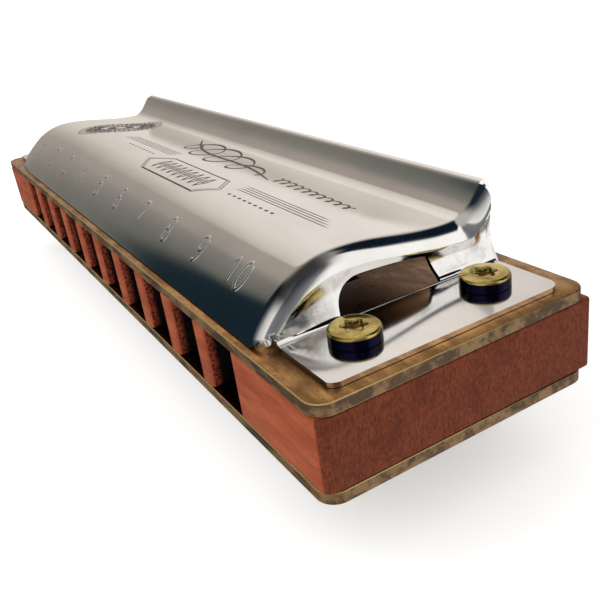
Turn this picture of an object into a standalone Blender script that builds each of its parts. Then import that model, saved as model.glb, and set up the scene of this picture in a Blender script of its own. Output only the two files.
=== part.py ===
"""Ten-hole diatonic harmonica, built as the assembly it is on the bench.

A wooden comb carries a brass reed plate on each face. Ten reeds are riveted to the
inside of the upper plate and ten to the outside of the lower one. A folded steel cover
closes each plate, and four screws with sleeve nuts clamp the whole stack together.

Frame: X runs along the row of holes, hole 1 at -X and hole 10 at +X. The mouth side
faces -Y, the covers open at +Y, and Z is up. The origin is under the middle of the
harmonica, level with its lowest point.
"""

import math

import bmesh
import bpy
from mathutils import Matrix, Vector

MM = 0.001

# Comb
COMB_LENGTH = 101.0
COMB_DEPTH = 25.5
COMB_HEIGHT = 6.1
COMB_FRONT_CORNER = 1.0
COMB_REAR_CORNER = 0.5
HOLE_COUNT = 10
HOLE_PITCH = 7.7
HOLE_WIDTH = 5.5
PILLAR_NOSE_RADIUS = 0.4
CHAMBER_FLOOR_LAND = 0.6

# Reed plates: flush with the mouth side, with the wood standing proud of them at the back
PLATE_DEPTH = 25.2
PLATE_THICKNESS = 1.05
PLATE_CORNER_RADIUS = 1.6
STACK_GAP = 0.05

# Reeds: the longest speaks for hole 1 and the shortest for hole 10
REED_THICKNESS = 0.25
REED_WIDTH = 2.2
REED_ROOT_EXTRA = 0.15
REED_TIP_TAPER = 0.15
REED_LONGEST = 15.3
REED_SHORTEST = 9.6
REED_LIFT = 0.12
PAD_WIDTH = 3.2
PAD_HALF_LENGTH = 1.25
SLOT_SIDE_CLEARANCE = 0.18
SLOT_END_CLEARANCE = 0.35
SLOT_ROOT_OFFSET = 1.5
BLOW_PAD_DEPTH = 3.7
DRAW_TIP_DEPTH = 5.3

# Rivets
RIVET_SHANK_RADIUS = 0.65
RIVET_HEAD_RADIUS = 1.0
RIVET_HEAD_HEIGHT = 0.3
RIVET_TAIL_RADIUS = 0.95
RIVET_TAIL_HEIGHT = 0.2
RIVET_SIDES = 8
FIT_CLEARANCE = 0.15

# Covers
SHEET = 0.4
COVER_SPAN = 84.3
COVER_WALL_LEAN = 0.6
COVER_EDGE_RADIUS = 1.2
COVER_REAR_RADIUS = 1.9
COVER_WAIST = 0.15
COVER_REAR_WAIST = 0.45
FLANGE_REACH = 49.4
FLANGE_FRONT = 1.9
FLANGE_REAR = 23.3
FLANGE_CORNER = 1.1
FOOT_FRONT = 1.7
FOOT_REAR = 23.8
SKIRT_HEIGHT = 0.5
HEM_RADIUS = 0.65
LIP_ANGLE = 50.0
LIP_DEPTH = 23.6
HEM_TURN = 215.0
FOOT_TRIM = 0.25
FOOT_GAP = 0.03

# Cover screws and sleeve nuts
SCREW_REACH = 45.2
SCREW_DEPTHS = {"front": 6.9, "rear": 19.4}
SCREW_HEAD_RADIUS = 2.05
SCREW_HEAD_HEIGHT = 1.0
SCREW_SHANK_RADIUS = 1.0
SCREW_EDGE = 0.25
SOCKET_RADIUS = 0.95
SOCKET_DEPTH = 0.55
NUT_SLEEVE_RADIUS = 1.55
NUT_SLEEVE_LENGTH = 2.4
SCREW_SIDES = 12

# Reed plate screws: two beside the end holes and three behind the chambers
PLATE_SCREW_PLACES = ((-39.3, 3.4), (39.3, 3.4), (-30.0, 23.6), (8.0, 22.6), (39.3, 21.8))
PLATE_SCREW_HEAD_RADIUS = 1.2
PLATE_SCREW_HEAD_HEIGHT = 0.6
PLATE_SCREW_SHANK_RADIUS = 0.6
PLATE_SCREW_SIDES = 10

# Heights over the mid plane of the comb
PLATE_INNER = COMB_HEIGHT / 2 + STACK_GAP
PLATE_OUTER = PLATE_INNER + PLATE_THICKNESS
FLANGE_INNER = PLATE_OUTER + STACK_GAP
FLANGE_OUTER = FLANGE_INNER + SHEET
COVER_FOOT = PLATE_OUTER - FOOT_TRIM
COVER_CROWN = COMB_HEIGHT / 2 + 6.72
COVER_VALLEY = COMB_HEIGHT / 2 + 5.40
COVER_LIP = COMB_HEIGHT / 2 + 7.78
COVER_KNEE = COMB_HEIGHT / 2 + 5.02


def from_mouth(depth):
    """Y of a point that lies this far behind the mouth face of the comb."""
    return depth - COMB_DEPTH / 2


def clear_objects():
    """Remove every object that the file already holds."""
    for old in list(bpy.data.objects):
        bpy.data.objects.remove(old, do_unlink=True)


def make_material(name, colour, roughness, metallic):
    """A Principled material with one colour and finish."""
    mat = bpy.data.materials.new(name)
    mat.use_nodes = True
    shader = mat.node_tree.nodes["Principled BSDF"]
    shader.inputs["Base Color"].default_value = (*colour, 1.0)
    shader.inputs["Roughness"].default_value = roughness
    shader.inputs["Metallic"].default_value = metallic
    return mat


def place_mesh(name, bm, mat, scale=MM):
    """Turn a bmesh drawn in millimetres into a named object in metres."""
    bmesh.ops.scale(bm, vec=(scale, scale, scale), verts=bm.verts)
    bmesh.ops.recalc_face_normals(bm, faces=bm.faces)
    mesh = bpy.data.meshes.new(name)
    bm.to_mesh(mesh)
    bm.free()
    mesh.materials.append(mat)
    part = bpy.data.objects.new(name, mesh)
    bpy.context.collection.objects.link(part)
    return part


def arc(centre_x, centre_y, radius, start, end, steps):
    """Points on an arc, from one angle in degrees to another, both ends included."""
    angles = [math.radians(start + (end - start) * k / steps) for k in range(steps + 1)]
    return [(centre_x + radius * math.cos(a), centre_y + radius * math.sin(a)) for a in angles]


def circle(centre_x, centre_y, radius, sides):
    """A closed ring of points."""
    return arc(centre_x, centre_y, radius, 0, 360 - 360 / sides, sides - 1)


def rounded_rectangle(half_x, half_y, radius, steps=4):
    """Outline of a rectangle about the origin whose corners are arcs."""
    outline = []
    for corner, (sx, sy) in enumerate(((1, 1), (-1, 1), (-1, -1), (1, -1))):
        start = 90 * corner
        outline += arc(sx * (half_x - radius), sy * (half_y - radius), radius, start, start + 90, steps)
    return outline


def slab(outline, holes, low, high):
    """A flat plate between two heights, cut right through by the given hole outlines."""
    bm = bmesh.new()
    edges = []
    for loop in [outline, *holes]:
        verts = [bm.verts.new((x, y, low)) for x, y in loop]
        edges += [bm.edges.new((verts[k - 1], verts[k])) for k in range(len(verts))]
    bmesh.ops.triangle_fill(bm, use_beauty=True, use_dissolve=False, edges=edges)
    floor = list(bm.faces)
    raised = bmesh.ops.extrude_face_region(bm, geom=floor, use_keep_orig=True)
    top = [item for item in raised["geom"] if isinstance(item, bmesh.types.BMVert)]
    bmesh.ops.translate(bm, vec=(0, 0, high - low), verts=top)
    return bm


def turned(profile, sides):
    """A solid of revolution about Z. The profile runs up the outside as (radius, height)."""
    bm = bmesh.new()
    rings = []
    for radius, height in profile:
        rings.append([bm.verts.new((x, y, height)) for x, y in circle(0, 0, radius, sides)])
    for lower, upper in zip(rings, rings[1:]):
        for k in range(sides):
            bm.faces.new((lower[k - 1], lower[k], upper[k], upper[k - 1]))
    bm.faces.new(rings[0])
    bm.faces.new(rings[-1])
    return bm


def smooth(part, angle=40):
    """Shade a round piece smooth, and keep its real corners sharp."""
    part.data.shade_smooth()
    part.data.set_sharp_from_angle(angle=math.radians(angle))


def hole_x(number):
    """X of the middle of a hole, numbered 1 to 10."""
    return (number - (HOLE_COUNT + 1) / 2) * HOLE_PITCH


def reed_length(number):
    """Free length of a reed: it falls evenly from hole 1 to hole 10."""
    share = (number - 1) / (HOLE_COUNT - 1)
    return REED_LONGEST + (REED_SHORTEST - REED_LONGEST) * share


def slot_span(number, is_blow):
    """Depths at which the slot of a reed starts and ends, and the depth of its rivet."""
    free = reed_length(number)
    if is_blow:
        start = BLOW_PAD_DEPTH + SLOT_ROOT_OFFSET
        return start, start + free - SLOT_ROOT_OFFSET + SLOT_END_CLEARANCE, BLOW_PAD_DEPTH
    tip = DRAW_TIP_DEPTH
    pad = tip + free
    return tip - SLOT_END_CLEARANCE, pad - SLOT_ROOT_OFFSET, pad


def chamber_end(number):
    """Depth of the back of an air chamber: just past the slots that open into it."""
    blow_end = slot_span(number, True)[1]
    draw_end = slot_span(number, False)[1]
    return max(blow_end, draw_end) + CHAMBER_FLOOR_LAND


def clamp_places():
    """Named places of the four cover screws, as (name, x, y)."""
    places = []
    for side, sign in (("left", -1), ("right", 1)):
        for row, depth in SCREW_DEPTHS.items():
            places.append((f"{side}_{row}", sign * SCREW_REACH, from_mouth(depth)))
    return places


def screw_holes(cover_radius, plate_radius):
    """Round holes for the cover screws and the reed plate screws."""
    holes = [circle(x, y, cover_radius, SCREW_SIDES) for _, x, y in clamp_places()]
    holes += [circle(x, from_mouth(d), plate_radius, PLATE_SCREW_SIDES) for x, d in PLATE_SCREW_PLACES]
    return holes


def make_comb(mat):
    """The comb: a slab with ten chambers that open at the mouth side and at both faces."""
    half_x = COMB_LENGTH / 2
    half_y = COMB_DEPTH / 2
    nose = PILLAR_NOSE_RADIUS
    front = COMB_FRONT_CORNER
    rear = COMB_REAR_CORNER
    outline = arc(-half_x + front, -half_y + front, front, 180, 270, 4)
    for number in range(1, HOLE_COUNT + 1):
        left = hole_x(number) - HOLE_WIDTH / 2
        right = hole_x(number) + HOLE_WIDTH / 2
        back = from_mouth(chamber_end(number))
        outline += arc(left - nose, -half_y + nose, nose, 270, 360, 3)
        outline += arc(left + nose, back - nose, nose, 180, 90, 2)
        outline += arc(right - nose, back - nose, nose, 90, 0, 2)
        outline += arc(right + nose, -half_y + nose, nose, 180, 270, 3)
    outline += arc(half_x - front, -half_y + front, front, 270, 360, 4)
    outline += arc(half_x - rear, half_y - rear, rear, 0, 90, 3)
    outline += arc(-half_x + rear, half_y - rear, rear, 90, 180, 3)
    holes = screw_holes(NUT_SLEEVE_RADIUS + FIT_CLEARANCE, PLATE_SCREW_SHANK_RADIUS + FIT_CLEARANCE)
    bm = slab(outline, holes, -COMB_HEIGHT / 2, COMB_HEIGHT / 2)
    return place_mesh("comb", bm, mat)


def make_reed_plate(name, is_blow, mat):
    """A brass plate with ten tapered slots, ten rivet holes and the clamping holes."""
    holes = screw_holes(NUT_SLEEVE_RADIUS + FIT_CLEARANCE, PLATE_SCREW_SHANK_RADIUS + FIT_CLEARANCE)
    half_slot = REED_WIDTH / 2 + SLOT_SIDE_CLEARANCE
    for number in range(1, HOLE_COUNT + 1):
        x = hole_x(number)
        start, end, pad = slot_span(number, is_blow)
        low, high = from_mouth(start), from_mouth(end)
        at_low = half_slot + (REED_ROOT_EXTRA if is_blow else -REED_TIP_TAPER)
        at_high = half_slot + (-REED_TIP_TAPER if is_blow else REED_ROOT_EXTRA)
        holes.append([(x - at_low, low), (x + at_low, low), (x + at_high, high), (x - at_high, high)])
        holes.append(circle(x, from_mouth(pad), RIVET_SHANK_RADIUS + FIT_CLEARANCE, RIVET_SIDES))
    outline = rounded_rectangle(COMB_LENGTH / 2, PLATE_DEPTH / 2, PLATE_CORNER_RADIUS)
    middle = from_mouth(PLATE_DEPTH / 2)
    outline = [(x, y + middle) for x, y in outline]
    inner, outer = (PLATE_INNER, PLATE_OUTER) if is_blow else (-PLATE_OUTER, -PLATE_INNER)
    return place_mesh(name, slab(outline, holes, inner, outer), mat)


def make_reed(number, is_blow, mat):
    """One reed: a riveted pad and a tapered tongue. Its origin is on the pad's bending axis."""
    towards_tip = 1 if is_blow else -1
    free = reed_length(number)
    root = PAD_HALF_LENGTH + 0.15
    root_half = REED_WIDTH / 2 + REED_ROOT_EXTRA * (1 - root / free)
    tip_half = REED_WIDTH / 2 - REED_TIP_TAPER
    pad_half = PAD_WIDTH / 2
    outline = [
        (-pad_half, -PAD_HALF_LENGTH),
        (pad_half, -PAD_HALF_LENGTH),
        (pad_half, PAD_HALF_LENGTH - 0.5),
        (root_half, root),
        (tip_half, free),
        (-tip_half, free),
        (-root_half, root),
        (-pad_half, PAD_HALF_LENGTH - 0.5),
    ]
    outline = [(x, towards_tip * y) for x, y in outline]
    hole = circle(0, 0, RIVET_SHANK_RADIUS + FIT_CLEARANCE, RIVET_SIDES)
    bm = slab(outline, [hole], -REED_THICKNESS / 2, REED_THICKNESS / 2)
    kind = "blow" if is_blow else "draw"
    reed = place_mesh(f"{kind}_reed_{number:02d}", bm, mat)
    face = PLATE_INNER if is_blow else -PLATE_OUTER
    height = face - REED_LIFT - REED_THICKNESS / 2
    depth = slot_span(number, is_blow)[2]
    reed.location = Vector((hole_x(number), from_mouth(depth), height + lift_to_floor())) * MM
    return reed


def make_rivet(number, is_blow, mesh_owner, mat):
    """One rivet: its head bears on the reed pad. A blow rivet is upset over the plate's outer
    face, and a draw rivet is ground flush where the plate lies on the comb.
    """
    kind = "blow" if is_blow else "draw"
    name = f"{kind}_rivet_{number:02d}"
    if mesh_owner is None:
        head = -(REED_LIFT + REED_THICKNESS + REED_LIFT)
        profile = [
            (RIVET_HEAD_RADIUS * 0.75, head - RIVET_HEAD_HEIGHT),
            (RIVET_HEAD_RADIUS, head - RIVET_HEAD_HEIGHT * 0.4),
            (RIVET_HEAD_RADIUS, head),
            (RIVET_SHANK_RADIUS, head),
        ]
        if is_blow:
            tail = PLATE_THICKNESS + STACK_GAP / 2
            profile += [
                (RIVET_SHANK_RADIUS, tail),
                (RIVET_TAIL_RADIUS, tail),
                (RIVET_TAIL_RADIUS * 0.8, tail + RIVET_TAIL_HEIGHT),
            ]
        else:
            profile.append((RIVET_SHANK_RADIUS, PLATE_THICKNESS))
        rivet = place_mesh(name, turned(profile, RIVET_SIDES), mat)
        smooth(rivet)
    else:
        rivet = bpy.data.objects.new(name, mesh_owner.data)
        bpy.context.collection.objects.link(rivet)
    face = PLATE_INNER if is_blow else -PLATE_OUTER
    depth = slot_span(number, is_blow)[2]
    rivet.location = Vector((hole_x(number), from_mouth(depth), face + lift_to_floor())) * MM
    return rivet


def hermite(start, end, start_angle, end_angle, steps):
    """Points of a curve that leaves one point and reaches another at the given slopes."""
    reach = math.dist(start, end)
    a0 = math.radians(start_angle)
    a1 = math.radians(end_angle)
    points = []
    for k in range(steps):
        t = k / steps
        w0 = 2 * t**3 - 3 * t**2 + 1
        w1 = t**3 - 2 * t**2 + t
        w2 = -2 * t**3 + 3 * t**2
        w3 = t**3 - t**2
        x = w0 * start[0] + w1 * reach * math.cos(a0) + w2 * end[0] + w3 * reach * math.cos(a1)
        z = w0 * start[1] + w1 * reach * math.sin(a0) + w2 * end[1] + w3 * reach * math.sin(a1)
        points.append((x, z))
    return points


def cover_profile():
    """Outside of the cover's cross section, as (depth, height), from front foot to rear lip."""
    foot = (0.5, COVER_FOOT)
    knee = (3.8, COVER_KNEE)
    crown = (8.9, COVER_CROWN)
    valley = (20.3, COVER_VALLEY)
    lip = (LIP_DEPTH, COVER_LIP)
    points = hermite(foot, knee, 74, 38, 5)
    points += hermite(knee, crown, 38, 0, 4)
    points += hermite(crown, valley, 0, 0, 6)
    points += hermite(valley, lip, 0, LIP_ANGLE, 5)
    points.append(lip)
    return points


def hem_points():
    """The rear lip rolled over into a bead, after the lip's last point."""
    lip_depth, lip_height = cover_profile()[-1]
    angle = math.radians(LIP_ANGLE)
    centre = (lip_depth + HEM_RADIUS * math.sin(angle), lip_height - HEM_RADIUS * math.cos(angle))
    return arc(*centre, HEM_RADIUS, 90 + LIP_ANGLE, 90 + LIP_ANGLE - HEM_TURN, 7)[1:]


def blend(low, high, value):
    """Smooth step from 0 at low to 1 at high."""
    t = min(max((value - low) / (high - low), 0.0), 1.0)
    return t * t * (3 - 2 * t)


def cover_row(depth, height, slope, share):
    """One lengthwise line over half the cover: roof, rounded end, end wall and foot.

    share is the row's place from 0 at the front to 1 at the rear.
    """
    radius = COVER_EDGE_RADIUS + (COVER_REAR_RADIUS - COVER_EDGE_RADIUS) * blend(19, LIP_DEPTH, depth)
    front = 1 - blend(5.0, 9.0, depth)
    rear = blend(20.5, LIP_DEPTH, depth)
    step_depth = math.sin(slope) * front - 0.3 * rear
    step_height = math.cos(slope) * front + (1 - front)
    wall_x = COVER_SPAN / 2 - COVER_WALL_LEAN * (1 - rear)
    waist = COVER_WAIST + (COVER_REAR_WAIST - COVER_WAIST) * rear
    row = [(0.0, depth, height), ((wall_x - radius) / 2, depth, height)]
    for k in range(5):
        a = math.radians(90 * k / 4)
        drop = radius * (1 - math.cos(a))
        x = wall_x - radius + radius * math.sin(a)
        row.append((x, depth + drop * step_depth, height - drop * step_height))
    top_depth, top_height = row[-1][1:]
    foot_depth = FOOT_FRONT + (FOOT_REAR - FOOT_FRONT) * share
    has_flange = FLANGE_FRONT < foot_depth < FLANGE_REAR
    foot_height = FLANGE_OUTER + SKIRT_HEIGHT if has_flange else COVER_FOOT
    top_height = max(top_height, foot_height + 0.05)
    row[-1] = (row[-1][0], top_depth, top_height)
    for k in (1, 2, 3):
        t = k / 3
        x = wall_x + (COVER_SPAN / 2 - wall_x) * t**2 - waist * math.sin(math.pi * t)
        row.append((x, top_depth + (foot_depth - top_depth) * t, top_height + (foot_height - top_height) * t))
    if has_flange:
        edge = FLANGE_REACH
        cut = min(max(foot_depth, FLANGE_FRONT + FLANGE_CORNER), FLANGE_REAR - FLANGE_CORNER)
        row.append((COVER_SPAN / 2, foot_depth, FLANGE_OUTER + 0.12))
        row.append((COVER_SPAN / 2 + 0.45, foot_depth, FLANGE_OUTER))
        row.append((edge - FLANGE_CORNER, foot_depth, FLANGE_OUTER))
        row.append((edge, cut, FLANGE_OUTER))
    return row


def cover_surface():
    """The outer skin of one cover as an open sheet in millimetres."""
    profile = cover_profile()
    lengths = [0.0]
    for before, after in zip(profile, profile[1:]):
        lengths.append(lengths[-1] + math.dist(before, after))
    rows = []
    for k, (depth, height) in enumerate(profile):
        before = profile[max(k - 1, 0)]
        after = profile[min(k + 1, len(profile) - 1)]
        slope = math.atan2(after[1] - before[1], after[0] - before[0])
        rows.append(cover_row(depth, height, slope, lengths[k] / lengths[-1]))
    lip_x = rows[-1][2][0]
    for depth, height in hem_points():
        rows.append([(0.0, depth, height), (lip_x / 2, depth, height), (lip_x, depth, height)])
    bm = bmesh.new()
    grid = []
    for row in rows:
        right = [bm.verts.new((x, from_mouth(d), z)) for x, d, z in row]
        left = [right[0]] + [bm.verts.new((-x, from_mouth(d), z)) for x, d, z in row[1:]]
        grid.append((left, right))
    for lower, upper in zip(grid, grid[1:]):
        for side in (0, 1):
            count = min(len(lower[side]), len(upper[side]))
            for k in range(count - 1):
                corners = [lower[side][k], lower[side][k + 1], upper[side][k + 1], upper[side][k]]
                if side == 0:
                    corners.reverse()
                bm.faces.new(corners)
    return bm


def make_cutter(name):
    """Cutter for one cover: the level it is trimmed to, the end vents and the screw holes."""
    bm = bmesh.new()
    trim_middle = PLATE_OUTER + FOOT_GAP - 0.5
    trim_size = Matrix.Diagonal((COMB_LENGTH + 8, COMB_DEPTH + 8, 1.0, 1.0))
    bmesh.ops.create_cube(bm, size=1.0, matrix=Matrix.Translation((0, 0, trim_middle)) @ trim_size)
    vent = arc(8.9, 3.0, 1.25, 180, 80, 4)
    vent += [(16.7, 3.2), (17.3, 2.2), (17.35, 1.3), (7.65, 1.3)]
    base = COMB_HEIGHT / 2
    for sign in (-1, 1):
        near = sign * (COVER_SPAN / 2 - 2.5)
        far = sign * (COVER_SPAN / 2 + 0.35)
        ring = [bm.verts.new((near, from_mouth(d), base + h)) for d, h in vent]
        face = bm.faces.new(ring)
        raised = bmesh.ops.extrude_face_region(bm, geom=[face], use_keep_orig=True)
        top = [item for item in raised["geom"] if isinstance(item, bmesh.types.BMVert)]
        bmesh.ops.translate(bm, vec=(far - near, 0, 0), verts=top)
    for _, x, y in clamp_places():
        lift = Matrix.Translation((x, y, FLANGE_OUTER))
        radius = NUT_SLEEVE_RADIUS + FIT_CLEARANCE
        bmesh.ops.create_cone(bm, cap_ends=True, segments=SCREW_SIDES, radius1=radius, radius2=radius,
                              depth=0.8, matrix=lift)
    cutter = place_mesh(name, bm, make_material("cutter", (1, 0, 0), 0.5, 0.0))
    cutter.hide_render = True
    cutter.display_type = "WIRE"
    return cutter


def make_cover(name, is_upper, mat):
    """A cover of folded sheet. The lower one is the same pressing turned over about Y."""
    cover = place_mesh(name, cover_surface(), mat)
    wall = cover.modifiers.new("sheet", "SOLIDIFY")
    wall.thickness = SHEET * MM
    wall.offset = -1
    wall.use_even_offset = True
    wall.thickness_clamp = 0
    cutter = make_cutter(name + "_cutter")
    cut = cover.modifiers.new("openings", "BOOLEAN")
    cut.operation = "DIFFERENCE"
    cut.solver = "EXACT"
    cut.object = cutter
    for piece in (cover, cutter):
        piece.location.z = lift_to_floor() * MM
        piece.rotation_euler.y = 0.0 if is_upper else math.pi
    return cover


def make_cover_screw(place, x, y, mat):
    """A cover screw: a round head with a socket and a shank down to the sleeve nut."""
    top = FLANGE_OUTER + STACK_GAP + SCREW_HEAD_HEIGHT
    bottom = -FLANGE_OUTER + 0.6
    seat = FLANGE_OUTER + STACK_GAP
    profile = [
        (SCREW_SHANK_RADIUS - 0.2, bottom),
        (SCREW_SHANK_RADIUS, bottom + 0.2),
        (SCREW_SHANK_RADIUS, seat),
        (SCREW_HEAD_RADIUS, seat),
        (SCREW_HEAD_RADIUS, top - SCREW_EDGE),
        (SCREW_HEAD_RADIUS - SCREW_EDGE, top),
        (SOCKET_RADIUS, top),
        (SOCKET_RADIUS * 0.8, top - SOCKET_DEPTH),
    ]
    screw = place_mesh(f"cover_screw_{place}", turned(profile, SCREW_SIDES), mat)
    screw.location = Vector((x, y, lift_to_floor())) * MM
    smooth(screw)
    return screw


def make_sleeve_nut(place, x, y, mat):
    """A sleeve nut under the lower cover: a round head and a tube around the screw's end."""
    seat = -FLANGE_OUTER - STACK_GAP
    head = seat - SCREW_HEAD_HEIGHT
    rim = seat + NUT_SLEEVE_LENGTH
    bore = SCREW_SHANK_RADIUS + FIT_CLEARANCE
    floor = -FLANGE_OUTER + 0.3
    profile = [
        (SCREW_HEAD_RADIUS - SCREW_EDGE, head),
        (SCREW_HEAD_RADIUS, head + SCREW_EDGE),
        (SCREW_HEAD_RADIUS, seat),
        (NUT_SLEEVE_RADIUS, seat),
        (NUT_SLEEVE_RADIUS, rim),
        (bore, rim),
        (bore, floor),
    ]
    nut = place_mesh(f"cover_nut_{place}", turned(profile, SCREW_SIDES), mat)
    nut.location = Vector((x, y, lift_to_floor())) * MM
    smooth(nut)
    return nut


def make_plate_screw(number, x, depth, mat):
    """A small screw that pins both reed plates to the comb."""
    seat = PLATE_OUTER + STACK_GAP
    tail = -PLATE_OUTER - 0.2
    profile = [
        (PLATE_SCREW_SHANK_RADIUS - 0.15, tail),
        (PLATE_SCREW_SHANK_RADIUS, tail + 0.15),
        (PLATE_SCREW_SHANK_RADIUS, seat),
        (PLATE_SCREW_HEAD_RADIUS, seat),
        (PLATE_SCREW_HEAD_RADIUS, seat + PLATE_SCREW_HEAD_HEIGHT * 0.5),
        (PLATE_SCREW_HEAD_RADIUS * 0.7, seat + PLATE_SCREW_HEAD_HEIGHT),
    ]
    screw = place_mesh(f"reed_plate_screw_{number}", turned(profile, PLATE_SCREW_SIDES), mat)
    screw.location = Vector((x, from_mouth(depth), lift_to_floor())) * MM
    smooth(screw)
    return screw


def lift_to_floor():
    """Height of the comb's mid plane over the lowest point of the lower cover."""
    hem = max(height for _, height in hem_points())
    return max(hem, COVER_CROWN)


def build_harmonica():
    """Make every piece of the harmonica."""
    clear_objects()
    wood = make_material("stained_pearwood", (0.32, 0.11, 0.06), 0.5, 0.0)
    brass = make_material("aged_brass", (0.58, 0.42, 0.19), 0.32, 1.0)
    reed_brass = make_material("reed_brass", (0.80, 0.62, 0.30), 0.25, 1.0)
    rivet_brass = make_material("rivet_brass", (0.72, 0.56, 0.30), 0.35, 1.0)
    steel = make_material("polished_steel", (0.78, 0.76, 0.74), 0.08, 1.0)
    screw_brass = make_material("screw_brass", (0.68, 0.55, 0.20), 0.18, 1.0)
    screw_steel = make_material("screw_steel", (0.60, 0.60, 0.60), 0.30, 1.0)

    comb = make_comb(wood)
    upper_plate = make_reed_plate("upper_reed_plate", True, brass)
    lower_plate = make_reed_plate("lower_reed_plate", False, brass)
    for layer in (comb, upper_plate, lower_plate):
        layer.location.z = lift_to_floor() * MM

    make_cover("upper_cover", True, steel)
    make_cover("lower_cover", False, steel)

    for is_blow in (True, False):
        first_rivet = None
        for number in range(1, HOLE_COUNT + 1):
            make_reed(number, is_blow, reed_brass)
            rivet = make_rivet(number, is_blow, first_rivet, rivet_brass)
            first_rivet = first_rivet or rivet

    for place, x, y in clamp_places():
        make_cover_screw(place, x, y, screw_brass)
        make_sleeve_nut(place, x, y, screw_brass)
    for number, (x, depth) in enumerate(PLATE_SCREW_PLACES, start=1):
        make_plate_screw(number, x, depth, screw_steel)


build_harmonica()
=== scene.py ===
"""Looks of a ten-hole diatonic harmonica, made around its packed assembly.

Sizes are in millimetres in the assembly's frame: X runs along the holes with hole 1 at -X, the
mouth side faces -Y, and Z is up. A depth is measured back from the mouth face of the comb, and
a height from the comb's mid plane.
"""

import bmesh
import bpy
import numpy as np
from mathutils import Matrix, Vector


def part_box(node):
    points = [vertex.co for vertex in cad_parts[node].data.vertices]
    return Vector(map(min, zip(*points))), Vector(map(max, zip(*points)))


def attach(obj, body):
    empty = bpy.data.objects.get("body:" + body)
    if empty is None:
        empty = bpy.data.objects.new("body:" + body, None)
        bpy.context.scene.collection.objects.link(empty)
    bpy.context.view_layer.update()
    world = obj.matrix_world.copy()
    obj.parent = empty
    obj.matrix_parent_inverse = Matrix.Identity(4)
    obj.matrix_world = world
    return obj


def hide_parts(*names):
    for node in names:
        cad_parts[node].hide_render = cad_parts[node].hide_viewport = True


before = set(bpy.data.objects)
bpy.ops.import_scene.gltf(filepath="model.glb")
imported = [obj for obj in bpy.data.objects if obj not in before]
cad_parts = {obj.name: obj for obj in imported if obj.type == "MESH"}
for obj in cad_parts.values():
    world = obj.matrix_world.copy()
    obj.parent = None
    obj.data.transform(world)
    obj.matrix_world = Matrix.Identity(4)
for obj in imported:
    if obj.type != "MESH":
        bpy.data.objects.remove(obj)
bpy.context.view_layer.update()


# ---- Comb ------------------------------------------------------------------------------------
# The comb is a board of stained and sealed pearwood. Ten chambers are sawn in from the mouth
# side, and the pillars between them have rounded noses and rough sawn flanks.

MM = 0.001
comb_low, comb_high = (np.array(corner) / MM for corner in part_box("comb"))
MID_HEIGHT = (comb_low[2] + comb_high[2]) / 2
MOUTH_Y = comb_low[1]
HALF_LENGTH = comb_high[0]
HALF_COMB = (comb_high[2] - comb_low[2]) / 2
COMB_DEPTH = comb_high[1] - comb_low[1]
HOLE_PITCH = 7.7
HOLE_HALF_WIDTH = 2.75
HOLE_X = (np.arange(10) - 4.5) * HOLE_PITCH
REED_LENGTHS = np.linspace(15.3, 9.6, 10)
CHAMBER_ENDS = REED_LENGTHS + 4.65
SLEEVE_HOLE = 1.7
PIN_HOLE = 0.75


def srgb(red, green, blue):
    """A colour named by its 0 to 255 screen values, as light: ((v + .055) / 1.055) ** 2.4."""
    value = np.array([red, green, blue]) / 255
    light = np.where(value > 0.04045, ((value + 0.055) / 1.055) ** 2.4, value / 12.92)
    return (*light.tolist(), 1.0)


class Number:
    """A number that varies over a surface. Python's operators on it add Math nodes."""

    def __init__(self, nodes, link):
        self.nodes = nodes
        self.link = link

    def math(self, operation, first, second):
        """A Math node of the named operation on two values."""
        return self.nodes.node("Math", {"operation": operation}, {0: first, 1: second})

    def __add__(self, other):
        return self.math("ADD", self, other)

    def __radd__(self, other):
        return self.math("ADD", other, self)

    def __sub__(self, other):
        return self.math("SUBTRACT", self, other)

    def __rsub__(self, other):
        return self.math("SUBTRACT", other, self)

    def __mul__(self, other):
        return self.math("MULTIPLY", self, other)

    def __rmul__(self, other):
        return self.math("MULTIPLY", other, self)


class Nodes:
    """A shader tree. Every node in it is added by the node method."""

    def __init__(self, tree):
        self.tree = tree

    def node(self, kind, settings=(), inputs=(), output=0):
        """Adds a node: its settings first, then the fixed values or links of its sockets."""
        made = self.tree.nodes.new("ShaderNode" + kind)
        for key, value in dict(settings).items():
            if key == "stops":
                elements = made.color_ramp.elements
                for place, _ in value[1:-1]:
                    elements.new(place)
                for element, (place, colour) in zip(elements, value):
                    element.position = place
                    element.color = colour
            else:
                setattr(made, key, value)
        for key, value in dict(inputs).items():
            if isinstance(value, Number):
                self.tree.links.new(value.link, made.inputs[key])
            else:
                made.inputs[key].default_value = value
        return Number(self, made.outputs[output])

    def step(self, value, low, high):
        """0 below low, 1 above high, and a smooth rise between them."""
        limits = {"Value": value, "From Min": low, "From Max": high}
        return self.node("MapRange", {"interpolation_type": "SMOOTHSTEP"}, limits)

    def mix(self, share, first, second):
        """The first colour where share is 0, and the second where it is 1."""
        return self.node("Mix", {"data_type": "RGBA"}, {0: share, 6: first, 7: second}, 2)


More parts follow.
